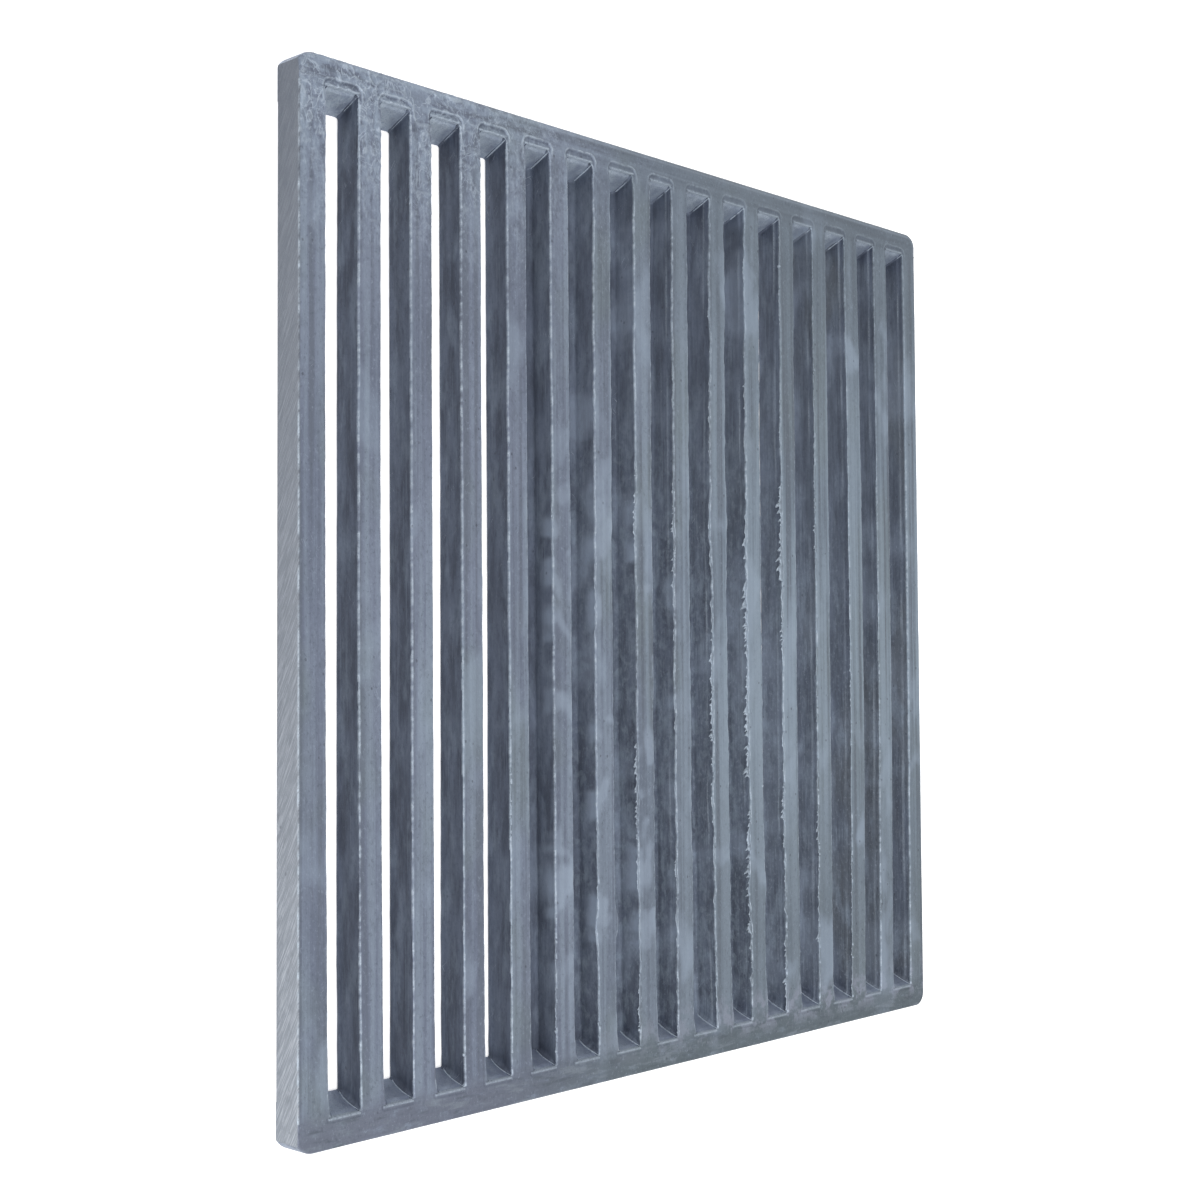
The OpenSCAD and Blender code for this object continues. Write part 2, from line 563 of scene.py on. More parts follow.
def add_flash(solid, edge_at, amount, seed, chips=()):
    """Thin ragged fins level with the upper face, standing out from a left edge."""
    y = np.arange(FOOT_FACE_Y + 1.0, HEAD_FACE_Y - 1.0, FLASH_STEP)
    root = edge_at(y)
    out = flash_reach(y, amount, seed, chips)
    curl = 0.30 * amount * layered(y / 2.3, seed + 5.0) * np.clip(out, 0, 1)
    level = face_height(root + 0.6, y)
    standing = out > 0.08
    edges = np.flatnonzero(np.diff(np.concatenate([[0], standing.astype(int), [0]])))
    for first, last in zip(edges[::2], edges[1::2]):
        if last - first < 4:
            continue
        run = slice(first, last)
        r, o, h, c, along = root[run], out[run], level[run], curl[run], y[run]
        tip = np.minimum(h - FLASH_THIN + c, THICK - 2 * SKIM)
        top = np.minimum(h - 0.03, THICK - SKIM)
        corners = [
            (r + 0.55, top),
            (r - 0.5 * o, 0.55 * top + 0.45 * tip),
            (r - o, tip),
            (r - 0.5 * o, 0.5 * (h - 0.5) + 0.5 * tip),
            (r + 0.55, h - 0.75),
        ]
        rings = np.stack([np.stack([x, along, z], -1) for x, z in corners], 1)
        rings[:, 2, 1] -= 0.5 * np.maximum(o - 0.4, 0)
        bright = np.broadcast_to([0.0, 0.45, 1.0, 0.45, 0.2], rings.shape[:2])
        solid.shell(rings, wear=bright * np.clip(0.45 + 0.4 * o, 0, 0.9)[:, None])


def add_bead(solid, path, radius, seed):
    """A thin uneven bead of metal along a path of points."""
    t = np.linspace(0, 1, len(path))[:, None]
    along = (path[-1] - path[0]) / np.linalg.norm(path[-1] - path[0])
    side = np.cross(along, (1.0, 0.0, 0.0))
    side /= np.linalg.norm(side)
    other = np.cross(along, side)
    taper = np.sqrt(np.sin(math.pi * np.clip(t, 0.02, 0.98)))
    swell = radius * (1 + 0.30 * noise2(t * 9.0, seed)) * taper
    angle = np.linspace(0, 2 * math.pi, 8, endpoint=False)
    ring = np.cos(angle)[None, :, None] * side + np.sin(angle)[None, :, None] * other
    # The bead is laid in the bright bare-metal colour: bare metal with a painted highlight
    solid.shell(path[:, None, :] + swell[:, :, None] * ring, wear=0.9)


def add_nodule(solid, centre, radius, seed):
    """A small rounded lump."""
    polar = np.linspace(0.25, math.pi - 0.25, 9)[:, None]
    turn = np.linspace(0, 2 * math.pi, 14, endpoint=False)
    size = radius * (1 + 0.3 * noise2(polar * 2 + seed, turn * 1.5))
    outwards = size * np.sin(polar)
    parts = [outwards * np.cos(turn), outwards * np.sin(turn), 0.8 * size * np.cos(polar)]
    solid.shell(np.stack(parts, -1) + np.array(centre), wear=0.8)


# ---------------------------------------- rails


def rail_stations():
    """Columns along a rail: close together at the panel's corners, even between them."""
    tip = CORNER_R + 1.0
    ends = HALF_W - tip + tip * np.sin(np.linspace(0, math.pi / 2, 18))
    middle = np.linspace(-HALF_W + tip, HALF_W - tip, 960)
    return np.concatenate([-ends[:0:-1], middle, ends[1:]])[:, None]


def rail(sign, face_y, slope, slots):
    """The head rail (sign 1) or the foot rail (sign -1), as sections swept along x.
    Each section goes round by upper face, outer side, underside and slot-end wall."""
    x = rail_stations()
    radius = np.where(x < 0, LEFT_CORNER_R, CORNER_R)
    past = np.maximum(np.abs(x) - HALF_W + radius - np.where(x < 0, LEFT_SLICE, 0.0), 0.0)
    outer = HALF_L - radius + np.sqrt(np.maximum(radius**2 - past**2, 0))
    inner, low_inner = abs(face_y), abs(face_y) - slope
    _, half, dx = nearest_slot(slots, x)
    mask = step(0.15, 0.6, half - np.abs(dx))
    edge, back_edge = EDGE_R * mask, BACK_R * mask

    # Upper face, with one row close to the slots' edges
    along = np.concatenate([[0.0, 0.004], np.linspace(0, 1, 38)[1:]])
    along = along + 0.13 * np.sin(math.pi * along) * along
    face_out = inner + edge + (outer - inner - edge) * along
    face_z = face_height(x, sign * face_out) - outer_rounding(x, sign * face_out)

    # Outer side
    down = np.linspace(0, 1, 12)[1:]
    side_out = np.broadcast_to(outer, (len(x), len(down)))
    side_z = face_z[:, -1:] + (OUTER_BACK_R - face_z[:, -1:]) * down

    # Underside, with its two rounded edges
    turn = np.linspace(0, math.pi / 2, 5)[1:]
    under_out = outer - OUTER_BACK_R * (1 - np.cos(turn))
    under_z = np.broadcast_to(OUTER_BACK_R * (1 - np.sin(turn)), under_out.shape)
    flat = inner_shares(0, 1, 9)
    flat_out = outer - OUTER_BACK_R + (low_inner + back_edge - outer + OUTER_BACK_R) * flat
    turn = np.linspace(0, math.pi / 2, 4)
    back_out = low_inner + back_edge * (1 - np.sin(turn))
    back_z = back_edge * (1 - np.cos(turn))

    # Slot-end wall, with a dent under its rounded upper edge
    wall_z = back_edge + (THICK - edge - back_edge) * inner_shares(0, 1, 20)
    uneven = 0.10 * noise2(x / 3.1, wall_z / 2.3 + sign)
    bulge = mask * (uneven - 0.16 * ridge(wall_z, THICK - 1.1, 0.4))
    wall_out = inner - slope * (THICK - wall_z) / THICK - bulge
    turn = np.linspace(0, math.pi / 2, 5)[:-1]
    lip_out = inner + edge * (1 - np.cos(turn))
    lip_z = THICK - edge * (1 - np.sin(turn))
    wall_top = follow_face(x, sign * wall_out, wall_z)
    lip_top = follow_face(x, sign * lip_out, lip_z)

    out = np.concatenate([face_out, side_out, under_out, flat_out, back_out, wall_out, lip_out], 1)
    z = np.concatenate([face_z, side_z, under_z, 0 * flat_out, back_z, wall_top, lip_top], 1)
    wide = np.broadcast_to(x, z.shape)

    # Painted highlights and painted shade of the upper face, a painted highlight on the head's
    # rounded outer edge, and a dark outline along the head
    on_top = slice(0, face_out.shape[1])
    painted_bright, painted_dark = face_marks(wide[:, on_top], sign * face_out)
    rim = outline_depth(wide[:, on_top], face_out)[0]
    painted_edge_highlight = ridge(rim, 1.3, 0.45) * (sign > 0)
    outline = (1 - step(0.25, 0.7, rim)) * (sign > 0)
    wear, wall, ground = np.zeros_like(z), np.zeros_like(z), np.zeros_like(z)
    wear[:, on_top] = np.clip(painted_bright + 0.30 * painted_edge_highlight, 0, 1)
    wall[:, on_top] = np.clip(painted_dark + 0.55 * outline, 0, 1)

    # Painted light on the slot-end wall, in patches and lighter towards each slot's left, and a
    # painted highlight along its rounded upper edge
    first_wall = sum(part.shape[1] for part in (face_out, side_out, under_out, flat_out, back_out))
    patches = 1 - 0.45 * dx / half + 0.5 * layered(x / 2.5 + sign, wall_z / 3.0)
    wear[:, first_wall : -len(turn)] = END_WALL_PAINTED_LIGHT[sign] * mask * patches
    wear[:, -len(turn) :] = 0.7 * mask

    # The rail's left end belongs to the ground left edge
    wear[0], ground[0] = 0.0, 1.0
    solid = Solid()
    solid.shell(np.stack([wide, sign * out, z], -1), wall=wall, ground=ground, wear=wear)
    return solid


def add_mitre_beads(solid, sign, wall_at, slots):
    """Beads of metal in the filleted corner between each slot's end wall and its right side,
    thicker in the slots further right, bright as bare metal and as a painted highlight."""
    z = np.linspace(THICK - 0.7, 0.4, 40)
    if sign > 0:
        from_side, from_wall = 0.22 * FILLET, 0.22 * FILLET
        radii = [0.12] * 3 + [0.30] * len(slots)
    else:
        from_side, from_wall = 0.85 * foot_fillet(z), 0.04
        radii = [0.20] * 5 + [0.30] * len(slots)
    for number, ((_, right), radius) in enumerate(zip(slots, radii), 1):
        path = np.broadcast_arrays(right - from_side, wall_at(z) - from_wall * sign, z)
        add_bead(solid, np.stack(path, -1), radius, number * 1.7 + sign)


# ---------------------------------------- material

# Colours of the upper face, in linear light
SKIN_LEFT = (0.132, 0.154, 0.212), (0.166, 0.192, 0.258)
SKIN_RIGHT = (0.138, 0.174, 0.220), (0.180, 0.224, 0.276)
GREENISH = (0.150, 0.184, 0.206)
BAND_LIGHT, BAND_DARK = (0.235, 0.285, 0.350), (0.105, 0.122, 0.155)
MOTTLE_LIGHT, MOTTLE_DARK = (0.235, 0.280, 0.350), (0.095, 0.115, 0.150)
DULL_HEAD, DULL_ENDS = (0.118, 0.140, 0.176), (0.118, 0.143, 0.166)
FOOT_LEFT, FOOT_RIGHT = (0.130, 0.145, 0.190), (0.100, 0.125, 0.145)
FOOT_LIGHT, FOOT_DARK = (0.190, 0.222, 0.262), (0.072, 0.088, 0.108)
KNUCKLE = (0.245, 0.268, 0.335)
SPECK_LIGHT, SPECK_DARK = (0.290, 0.340, 0.420), (0.080, 0.098, 0.130)
HEAD_SPECK_LIGHT, HEAD_SPECK_DARK = (0.380, 0.440, 0.530), (0.075, 0.090, 0.125)
# The slot-end walls, lit at the head and shaded at the foot: painted light and painted shade
END_WALL_HEAD_LIT, END_WALL_FOOT_SHADED = (0.162, 0.192, 0.275), (0.128, 0.154, 0.235)
HAZE, SHEEN, BREATH = (0.290, 0.352, 0.440), (0.285, 0.350, 0.420), (0.300, 0.360, 0.450)

# Colours of the slots' walls
WALL_CLOUDS = (0.050, 0.061, 0.090), (0.096, 0.117, 0.165)
WALL_STREAK = (0.140, 0.170, 0.225)
WALL_BROWN = (0.092, 0.102, 0.112)
WALL_PALE = (0.175, 0.215, 0.275)
WALL_BRIGHT = (0.210, 0.250, 0.315)
MARBLE_LIGHT, MARBLE_DARK = (0.165, 0.205, 0.255), (0.060, 0.074, 0.100)
WALL_DARK_STREAK = (0.050, 0.062, 0.088)
WALL_SPECK = (0.045, 0.056, 0.080)
WALL_HAZE, WALL_BREATH = (0.250, 0.300, 0.385), (0.230, 0.280, 0.360)

# Colours of the ground edge, between and along its strokes (painted shade at the head and
# painted light at the foot), and of marks, pits, and burrs with painted highlights
GROUND_HEAD = (0.080, 0.094, 0.120), (0.108, 0.122, 0.150)
GROUND_FOOT = (0.185, 0.205, 0.235), (0.310, 0.335, 0.375)
GROUND_STAIN = (0.11, 0.125, 0.15)
MARK, PIT, BURR_AND_HIGHLIGHT = (0.37, 0.43, 0.51), (0.045, 0.052, 0.070), (0.37, 0.43, 0.50)


class Graph:
    """Short ways to add and join shader nodes."""

    def __init__(self, material):
        material.use_nodes = True
        self.nodes = material.node_tree.nodes
        self.links = material.node_tree.links
        self.shader = self.nodes["Principled BSDF"]
        self.here = self.nodes.new("ShaderNodeTexCoord").outputs["Object"]

    def put(self, socket, value):
        """Feeds a socket from another socket, a number or a colour."""
        if hasattr(value, "node"):
            self.links.new(value, socket)
        elif socket.type == "RGBA":
            socket.default_value = (*value, 1.0)
        else:
            socket.default_value = value

    def axes(self):
        """The x, y and z of the point that is shaded, in metres."""
        node = self.nodes.new("ShaderNodeSeparateXYZ")
        self.links.new(self.here, node.inputs["Vector"])
        return node.outputs

    def attribute(self, name):
        """A value that the mesh carries at its points."""
        node = self.nodes.new("ShaderNodeAttribute")
        node.attribute_name = name
        return node.outputs["Fac"]

    def math(self, kind, a, b=0.0):
        node = self.nodes.new("ShaderNodeMath")
        node.operation = kind
        self.put(node.inputs[0], a)
        self.put(node.inputs[1], b)
        return node.outputs[0]

    def times(self, *values):
        """The product of all the values."""
        result = values[0]
        for value in values[1:]:
            result = self.math("MULTIPLY", result, value)
        return result

    def total(self, *values):
        """The sum of all the values."""
        result = values[0]
        for value in values[1:]:
            result = self.math("ADD", result, value)
        return result

    def placed(self, size, turn=(0, 0, 0), shift=(0, 0, 0)):
        """Coordinates with one unit per size, in millimetres, on each axis, turned by degrees."""
        node = self.nodes.new("ShaderNodeMapping")
        node.vector_type = "TEXTURE"
        self.links.new(self.here, node.inputs["Vector"])
        node.inputs["Location"].default_value = [s * MM for s in shift]
        node.inputs["Rotation"].default_value = [math.radians(t) for t in turn]
        node.inputs["Scale"].default_value = [s * MM for s in size]
        return node.outputs["Vector"]

    def noise(self, size, detail=3.0, rough=0.55, turn=(0, 0, 0), shift=(0, 0, 0), warp=0.0):
        """Noise around 0.5, with patches of about the size on each axis."""
        node = self.nodes.new("ShaderNodeTexNoise")
        self.links.new(self.placed(size, turn, shift), node.inputs["Vector"])
        node.inputs["Scale"].default_value = 1.0
        node.inputs["Detail"].default_value = detail
        node.inputs["Roughness"].default_value = rough
        node.inputs["Distortion"].default_value = warp
        return node.outputs["Fac"]

    def cells(self, size):
        """Distance to the nearest of scattered points, about one to each size."""
        node = self.nodes.new("ShaderNodeTexVoronoi")
        self.links.new(self.placed(size), node.inputs["Vector"])
        node.inputs["Scale"].default_value = 1.0
        return node.outputs["Distance"]

    def between(self, value, low, high, smoothly=True):
        """0 where value is under low and 1 where it is over high. high may be the smaller."""
        node = self.nodes.new("ShaderNodeMapRange")
        node.interpolation_type = "SMOOTHSTEP" if smoothly else "LINEAR"
        self.put(node.inputs["Value"], value)
        node.inputs["From Min"].default_value = low
        node.inputs["From Max"].default_value = high
        return node.outputs["Result"]

    def along(self, axis, low, high, smoothly=True):
        """The same for a place along an axis, with low and high in millimetres."""
        return self.between(axis, low * MM, high * MM, smoothly)

    def mix_node(self, amount, a, b, kind):
        node = self.nodes.new("ShaderNodeMix")
        node.data_type = kind
        self.put(node.inputs["Factor"], amount)
        self.put(node.inputs["A"], a)
        self.put(node.inputs["B"], b)
        return node.outputs["Result"]

    def blend(self, amount, a, b):
        """A value that goes from a to b as amount goes from 0 to 1."""
        return self.mix_node(amount, a, b, "FLOAT")

    def mix(self, amount, a, b):
        """A colour that goes from a to b as amount goes from 0 to 1."""
        return self.mix_node(amount, a, b, "RGBA")

    def lay(self, under, over, *amounts):
        """A colour with another laid over it, as strongly as the product of the amounts."""
        return self.mix(self.times(*amounts), under, over)


class Fields:
    """Noises, and masks of places on the panel, that several parts of the metal share."""

    def __init__(self, g):
        self.x, self.y, self.z = g.axes()
        self.from_middle = g.math("ABSOLUTE", self.y)
        self.on_rail = g.along(self.from_middle, 137, 146)
        self.at_foot = g.along(self.y, -137, -145)
        self.to_right = g.along(self.x, -75, 60)
        self.head_left = g.times(g.along(self.x, 10, -120), g.along(self.y, 90, 142))

        self.blotch = g.noise((46, 60, 30), 3, 0.6)
        self.speckle = g.noise((0.9, 1.3, 0.9), 4, 0.7)
        bar_bands = g.noise((2.6, 170, 3.0), 3, 0.55)
        rail_bands = g.noise((60, 2.2, 3.0), 3, 0.6)
        self.bands = g.blend(self.on_rail, bar_bands, rail_bands)
        bar_mottle = g.noise((2.6, 4.2, 2.6), 5, 0.65)
        rail_mottle = g.noise((5.2, 2.0, 2.6), 5, 0.65)
        self.mottle = g.blend(self.on_rail, bar_mottle, rail_mottle)

        haze_at = g.noise((20, 34, 60), 3, 0.5, shift=(11, 3, 0), warp=0.3)
        haze = g.times(g.between(haze_at, 0.52, 0.66), g.blend(self.to_right, 0.65, 1.0))
        head_haze = g.times(self.head_left, g.between(self.mottle, 0.38, 0.62))
        self.haze = g.math("MAXIMUM", haze, head_haze)

        # Paler breaths of haze on bars 5 to 7 and the walls beside them
        breath_at = g.noise((13, 17, 60), 2, 0.5, shift=(-6, 12, 0), warp=0.2)
        across = g.times(g.along(self.x, -66, -50), g.along(self.x, 14, -4))
        up = g.times(g.along(self.y, 50, 25), g.along(self.y, -125, -100))
        self.breath = g.times(g.between(breath_at, 0.50, 0.60), across, up)


def skin_colour(g, f):
    """The blue-grey casting skin of the upper face, with the slot-end walls of the rails."""
    left = g.mix(g.between(f.blotch, 0.36, 0.64), *SKIN_LEFT)
    right = g.mix(g.between(f.blotch, 0.36, 0.64), *SKIN_RIGHT)
    skin = g.mix(f.to_right, left, right)
    tint = g.noise((34, 60, 30), 3, 0.55, shift=(70, 20, 0))
    skin = g.lay(skin, GREENISH, g.between(tint, 0.50, 0.66), 0.7)
    skin = g.lay(skin, BAND_LIGHT, g.between(f.bands, 0.45, 0.66), 0.55)
    skin = g.lay(skin, BAND_DARK, g.between(f.bands, 0.50, 0.34), 0.60)
    skin = g.lay(skin, MOTTLE_DARK, g.between(f.mottle, 0.48, 0.30), 0.28)
    skin = g.lay(skin, MOTTLE_LIGHT, g.between(f.mottle, 0.54, 0.72), 0.25)

    # Duller at the head and towards the bars' ends on the right
    skin = g.lay(skin, DULL_HEAD, g.along(f.y, 137, 143), f.to_right, 0.45)
    low_end, high_end = g.along(f.y, -10, -120), g.along(f.y, 50, 130)
    skin = g.lay(skin, DULL_ENDS, f.to_right, g.math("MAXIMUM", low_end, high_end), 0.40)

    # The foot rail is darker and patchy, with paler patches where the bars meet it
    foot_tone = g.mix(g.along(f.x, -90, -10), FOOT_LEFT, FOOT_RIGHT)
    foot_dull = g.times(f.at_foot, g.between(f.mottle, 0.78, 0.48))
    skin = g.lay(skin, foot_tone, foot_dull, g.along(f.z, 8.8, 9.4), 0.9)
    patches = g.noise((14, 3.0, 3.0), 5, 0.65, shift=(8, 2, 1))
    skin = g.lay(skin, FOOT_LIGHT, f.at_foot, g.between(patches, 0.52, 0.66), 0.60)
    skin = g.lay(skin, FOOT_DARK, f.at_foot, g.between(patches, 0.46, 0.34), 0.60)
    bar_foot = g.times(g.along(f.y, -128, -138), g.along(f.y, -148, -141), f.to_right)
    knuckles = g.noise((7, 7, 9), 4, 0.6, shift=(2, 6, 1))
    skin = g.lay(skin, KNUCKLE, bar_foot, g.between(knuckles, 0.46, 0.56), 0.75)

    skin = g.lay(skin, SPECK_DARK, g.between(f.speckle, 0.46, 0.30), 0.50)
    skin = g.lay(skin, SPECK_LIGHT, g.between(f.speckle, 0.56, 0.72), 0.40)
    skin = g.lay(skin, HEAD_SPECK_DARK, f.head_left, g.between(f.speckle, 0.48, 0.38), 0.35)
    skin = g.lay(skin, HEAD_SPECK_LIGHT, f.head_left, g.between(f.speckle, 0.53, 0.64), 0.30)

    # The slot-end walls, which carry no wall attribute, lighter at the head and darker at the
    # foot: painted light and painted shade
    in_slot = g.times(g.along(f.from_middle, 134, 136), g.along(f.from_middle, 147, 145))
    end_wall_shading = g.mix(g.along(f.y, -10, 10), END_WALL_FOOT_SHADED, END_WALL_HEAD_LIT)
    skin = g.lay(skin, end_wall_shading, in_slot, g.along(f.z, 9.3, 8.6), 0.75)

    clear = g.math("MAXIMUM", f.at_foot, g.times(f.on_rail, f.to_right))
    skin = g.lay(skin, HAZE, f.haze, g.blend(clear, 0.55, 0.15))
    # A painted sheen: paler on the bars' bands at mid-height, towards the right
    mid_height = g.along(f.from_middle, 120, 30)
    sheen = g.times(g.along(f.x, -30, 50), mid_height, g.between(f.bands, 0.30, 0.62))
    skin = g.lay(skin, SHEEN, sheen, 0.42)
    return g.lay(skin, BREATH, f.breath, 0.50)


def wall_colour(g, f):
    """The darker side walls of the slots: streaked at the left, marbled in the middle and cloudy
    at the lower right."""
    cloud = g.noise((9, 18, 4), 4, 0.6, shift=(3, 9, 1))
    wall = g.mix(g.between(cloud, 0.33, 0.68), *WALL_CLOUDS)
    streak = g.noise((3.0, 40, 0.7), 3, 0.6)
    wall = g.lay(wall, WALL_STREAK, g.between(streak, 0.54, 0.76), 0.5)
    brown = g.noise((60, 90, 30), 2, 0.5, shift=(-40, 5, 0))
    wall = g.lay(wall, WALL_BROWN, g.between(brown, 0.50, 0.60), g.along(f.x, 60, 90), 0.5)

    low_right = g.times(f.to_right, g.along(f.y, 70, -30))
    patches = g.noise((10, 17, 5), 4, 0.62, shift=(30, 4, 6))
    pale = g.between(patches, 0.48, 0.68)
    wall = g.lay(wall, WALL_PALE, pale, g.blend(low_right, 0.38, 0.72))
    fine_streak = g.between(g.noise((3.0, 9, 0.35), 3, 0.6, shift=(4, 2, 9)), 0.56, 0.72)
    wall = g.lay(wall, WALL_BRIGHT, fine_streak, g.blend(low_right, 0.15, 0.65))

    marbled = g.times(g.along(f.x, -60, -20), g.along(f.x, 95, 45), g.along(f.y, 90, 20))
    marble = g.noise((4.0, 4.5, 2.6), 5, 0.68, shift=(7, 7, 2), warp=0.4)
    wall = g.lay(wall, MARBLE_LIGHT, marbled, g.between(marble, 0.47, 0.62), 0.55)
    wall = g.lay(wall, MARBLE_DARK, marbled, g.between(marble, 0.46, 0.36), 0.45)

    dark_streak = g.between(g.noise((3.0, 26, 0.5), 3, 0.6, shift=(9, 1, 2)), 0.48, 0.34)
    wall = g.lay(wall, WALL_DARK_STREAK, dark_streak, f.to_right, 0.6)
    wall = g.lay(wall, WALL_SPECK, g.between(f.speckle, 0.48, 0.34), 0.35)
    light_speck = g.between(f.speckle, 0.55, 0.70)
    wall = g.lay(wall, WALL_BRIGHT, light_speck, g.blend(low_right, 0.10, 0.55))

    hazy = g.blend(g.along(f.x, 0, 60), 0.55, 0.25)
    wall = g.lay(wall, WALL_HAZE, f.haze, g.along(f.x, -70, -30), hazy)
    return g.lay(wall, WALL_BREATH, f.breath, g.along(f.z, 3, 8), 0.75)


def ground_colour(g, f, strokes):
    """The ground left edge, brighter towards the foot: painted light, with painted shade towards
    the head.
    """
    at_head = g.mix(strokes, *GROUND_HEAD)
    at_foot = g.mix(strokes, *GROUND_FOOT)
    metal = g.mix(g.along(f.y, 150, -150, smoothly=False), at_head, at_foot)
    return g.lay(metal, GROUND_STAIN, g.between(f.mottle, 0.5, 0.33), 0.35)


def surface_marks(g, f, wall, ground):
    """Thin scratches in patches, and curled marks near the head's left corner."""
    face_lines = (
        g.between(g.noise((0.15, 4.0, 40), 1, 0.5, turn=(0, 0, 24)), 0.71, 0.77),
        g.between(g.noise((0.14, 3.0, 40), 1, 0.5, (0, 0, -48), (5, 1, 0)), 0.72, 0.78),
    )
    wall_lines = (
        g.between(g.noise((40, 4.5, 0.15), 1, 0.5, turn=(38, 0, 0)), 0.73, 0.79),
        g.between(g.noise((40, 3.4, 0.14), 1, 0.5, turn=(-22, 0, 0)), 0.73, 0.79),
    )
    lines = g.blend(wall, g.math("MAXIMUM", *face_lines), g.math("MAXIMUM", *wall_lines))
    curl_at = g.noise((4.5, 6.5, 4.5), 3, 0.5, shift=(2, 8, 4), warp=1.2)
    off_curl = g.math("ABSOLUTE", g.math("SUBTRACT", curl_at, 0.5))
    on_face = g.math("SUBTRACT", 1.0, wall)
    curls = g.times(g.between(off_curl, 0.022, 0.006), f.head_left, on_face)
    patchy = g.total(g.noise((16, 26, 12), 2, 0.5, shift=(1, 50, 0)), g.times(f.head_left, 0.25))
    marks = g.times(g.math("MAXIMUM", lines, curls), g.between(patchy, 0.52, 0.64))
    return g.times(marks, g.math("SUBTRACT", 1.0, ground))


def cast_metal():
    """Weathered cast aluminium: blotched skin, dirtier walls, a ground edge, bare burrs, and the
    painted highlights and painted shade that the attributes carry.
    """
    material = bpy.data.materials.new("cast_metal")
    g = Graph(material)
    f = Fields(g)
    wall, ground, wear = g.attribute("wall"), g.attribute("ground"), g.attribute("wear")
    strokes = g.between(g.noise((40, 0.34, 7.0), 3, 0.6, turn=(-61, 0, 0)), 0.42, 0.66)
    marks = surface_marks(g, f, wall, ground)
    pit_at = g.between(g.cells((4.2, 5.2, 4.2)), 0.12, 0.06)
    pits = g.times(pit_at, g.between(f.blotch, 0.45, 0.55))

    colour = g.mix(wall, skin_colour(g, f), wall_colour(g, f))
    colour = g.mix(ground, colour, ground_colour(g, f, strokes))
    colour = g.lay(colour, PIT, pits, 0.5)
    colour = g.lay(colour, MARK, marks, g.blend(f.head_left, 0.55, 0.68))
    # Bare burrs and wear, and the painted highlights and painted light that the attribute carries
    grain = g.noise((0.45, 0.6, 0.45), 3, 0.6)
    colour = g.lay(colour, BURR_AND_HIGHLIGHT, wear, g.between(grain, 0.22, 0.55))
    g.put(g.shader.inputs["Base Color"], colour)

    rough = g.total(0.44, g.times(f.mottle, 0.22), g.times(wall, 0.12), g.times(ground, -0.10))
    g.put(g.shader.inputs["Roughness"], rough)
    g.shader.inputs["Metallic"].default_value = 0.55

    height = g.total(
        g.times(f.mottle, 0.20),
        g.times(f.speckle, 0.12),
        g.times(marks, 0.05),
        g.times(pits, -0.12),
        g.times(strokes, ground, 0.08),
    )
    bump = g.nodes.new("ShaderNodeBump")
    bump.inputs["Strength"].default_value = 0.8
    bump.inputs["Distance"].default_value = 1.0 * MM
    g.links.new(height, bump.inputs["Height"])
    g.links.new(bump.outputs["Normal"], g.shader.inputs["Normal"])
    return material


# ---------------------------------------- stage

FLOOR_SIZE = 40.0
FLOOR_DROP = 0.0002  # how far the floor lies under the panel, in metres
WORLD_STRENGTH = 0.75

# Area lights: where they are and how wide, in metres, and how strong, in watts
SOFTBOXES = {
    "key": ((-0.5, -0.9, 1.3), 1.2, 18),
    "side": ((-1.4, -0.7, 0.35), 0.8, 7),
    "fill": ((-0.3, 1.3, 0.9), 0.8, 8),
}

# The photo's camera, solved from the panel's outline and slots
LENS, SENSOR = 53.99, 36.0
CAMERA_AT = (-0.4466, -0.0217, 0.4017)
CAMERA_TURN = (2.710, -46.620, -0.483)


def floor():
    """A plain white floor just under the panel."""
    bpy.ops.mesh.primitive_plane_add(size=FLOOR_SIZE, location=(0, 0, -FLOOR_DROP))
    plane = bpy.context.object
    plane.name = "floor"
    paint = bpy.data.materials.new("floor_white")
    paint.use_nodes = True
    shader = paint.node_tree.nodes["Principled BSDF"]
    shader.inputs["Base Color"].default_value = (0.9, 0.9, 0.9, 1)
    shader.inputs["Roughness"].default_value = 1.0
    shader.inputs["Specular IOR Level"].default_value = 0.0
    shader.inputs["Emission Color"].default_value = (1, 1, 1, 1)
    shader.inputs["Emission Strength"].default_value = 0.4
    plane.data.materials.append(paint)


def softbox(name, location, size, power):
    """A square area light that faces the panel."""
    light = bpy.data.lights.new(name, "AREA")
    light.size = size
    light.energy = power
    lamp = bpy.data.objects.new(name, light)
    bpy.context.scene.collection.objects.link(lamp)
    lamp.location = location
    lamp.rotation_euler = (-Vector(location)).to_track_quat("-Z", "Y").to_euler()


def lighting():
    """An even white world and three soft lights."""
    world = bpy.data.worlds.new("studio")
    world.use_nodes = True
    background = world.node_tree.nodes["Background"]
    background.inputs["Color"].default_value = (1, 1, 1, 1)
    background.inputs["Strength"].default_value = WORLD_STRENGTH
    bpy.context.scene.world = world
    for name, (location, size, power) in SOFTBOXES.items():
        softbox(name, location, size, power)
    bpy.context.scene.view_settings.view_transform = "Standard"


def camera():
    data = bpy.data.cameras.new("camera")
    data.lens = LENS
    data.sensor_width = SENSOR
    data.clip_start = 0.01
    view = bpy.data.objects.new("camera", data)
    bpy.context.scene.collection.objects.link(view)
    view.location = CAMERA_AT
    view.rotation_euler = [math.radians(angle) for angle in CAMERA_TURN]
    bpy.context.scene.camera = view


# ---------------------------------------- build


def grime_of(number):
    """How far a member's walls take the dirty finish: wholly up to the fourth bar, then less."""
    return 1.0 - 0.12 * float(step(4.0, 12.0, number))


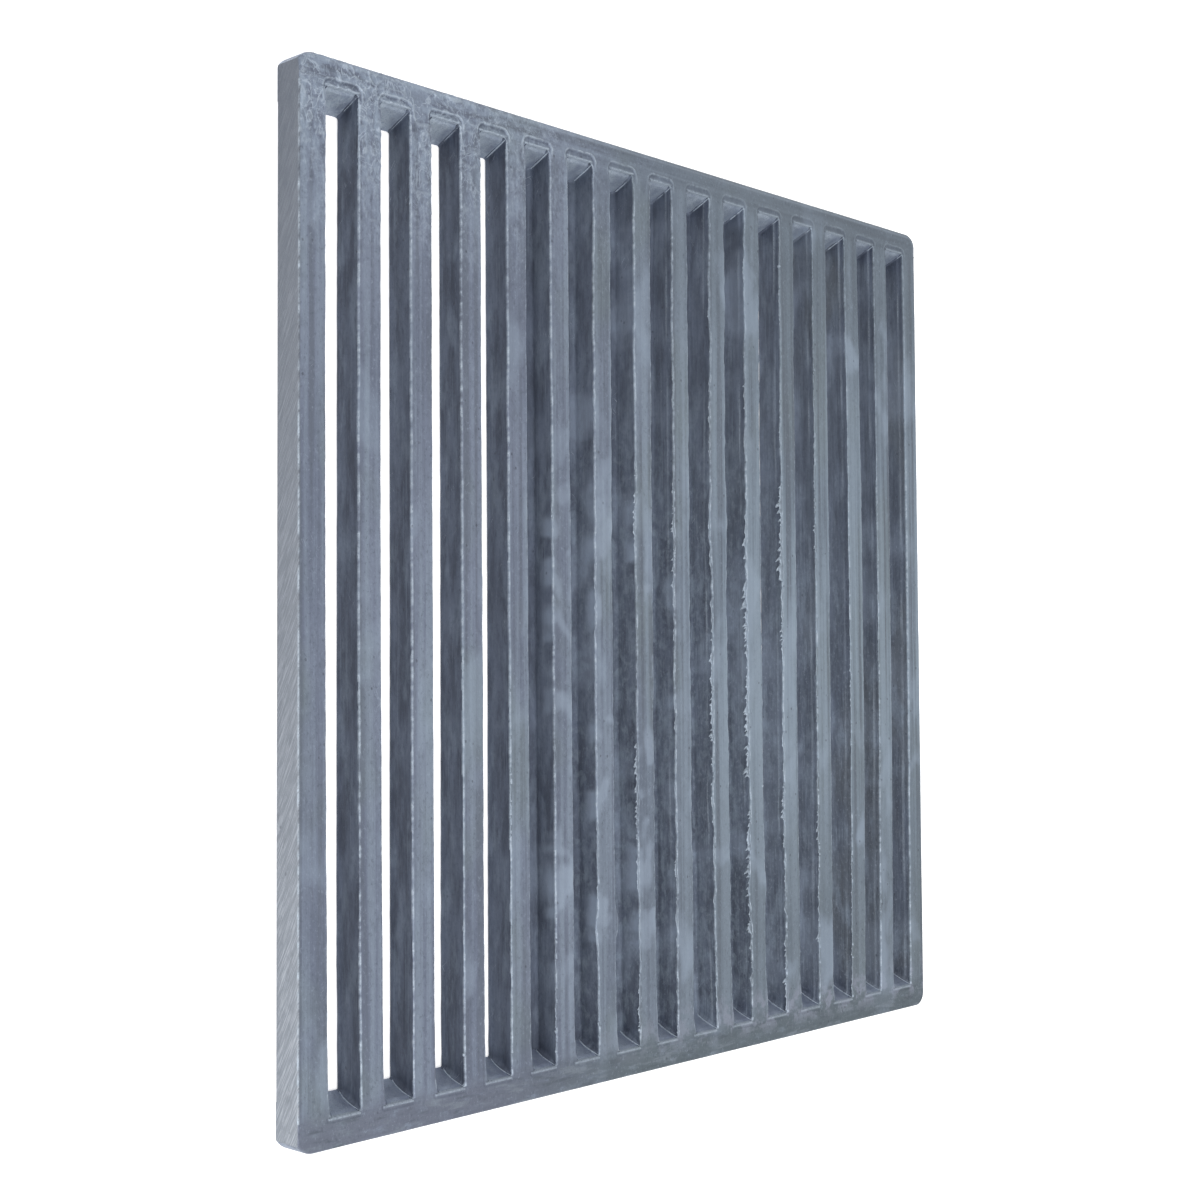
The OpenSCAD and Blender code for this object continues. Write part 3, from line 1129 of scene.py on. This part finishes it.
def bar(number, left, right):
    """A bar with its flash and small beads of metal."""
    wave, lumps, flash = WAVES[number - 1], LUMPS.get(number, ()), FLASH[number - 1]
    left_side = Side(
        seed=number * 2.3,
        wave=wave,
        ledge=0.20 + 0.03 * (number - LEDGE_FROM) if number >= LEDGE_FROM else 0.0,
        back_flash=BACK_FLASH.get(number, 0.0),
        lumps=lumps,
    )
    right_side = Side(
        seed=number * 5.9 + 0.7,
        wave=0.6 * wave,
        foot_flare=FOOT_FLARE,
        lumps=lumps[:1],
    )
    solid = member(number, left, right, left_side, right_side, grime_of(number))

    def left_edge(y):
        """Where the bar's left edge lies at the upper face."""
        return left + drift(number, y) - left_side.out(y, THICK)

    if flash:
        add_flash(solid, left_edge, flash, number * 1.31, CHIPS.get(number, ()))
    for bar_number, y, across, radius in NODULES:
        if bar_number == number:
            x = (left + right) / 2 + drift(number, y) + across * (right - left) / 2
            add_nodule(solid, (x, y, THICK - 1.1 * radius), radius, seed=number + y)
    return solid


metal = cast_metal()


def place(solid, node):
    """Makes the visual piece that stands for a CAD node."""
    piece = solid.build("cast_" + node, metal)
    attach(piece, "root")
    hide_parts(node)


for number, (node, (left, right)) in enumerate(zip(BARS, BAR_SIDES), 1):
    place(bar(number, left, right), node)

left_inner = Side(seed=0.4, foot_flare=FOOT_FLARE)
place(member(0, -HALF_W, LEFT_STILE_IN, None, left_inner), "left_stile")
right_inner = Side(seed=61.0, wave=0.12, ledge=0.40)
right_stile = member(LAST, RIGHT_STILE_IN, HALF_W, right_inner, None, grime_of(LAST))
place(right_stile, "right_stile")

for node, sign, face_y, slope, wall_at, slots in (
    ("head_rail", 1, HEAD_FACE_Y, HEAD_SLOPE, head_wall, HEAD_SLOTS),
    ("foot_rail", -1, FOOT_FACE_Y, FOOT_SLOPE, foot_wall, FOOT_SLOTS),
):
    whole_rail = rail(sign, face_y, slope, slots)
    add_mitre_beads(whole_rail, sign, wall_at, slots)
    place(whole_rail, node)

floor()
lighting()
camera()
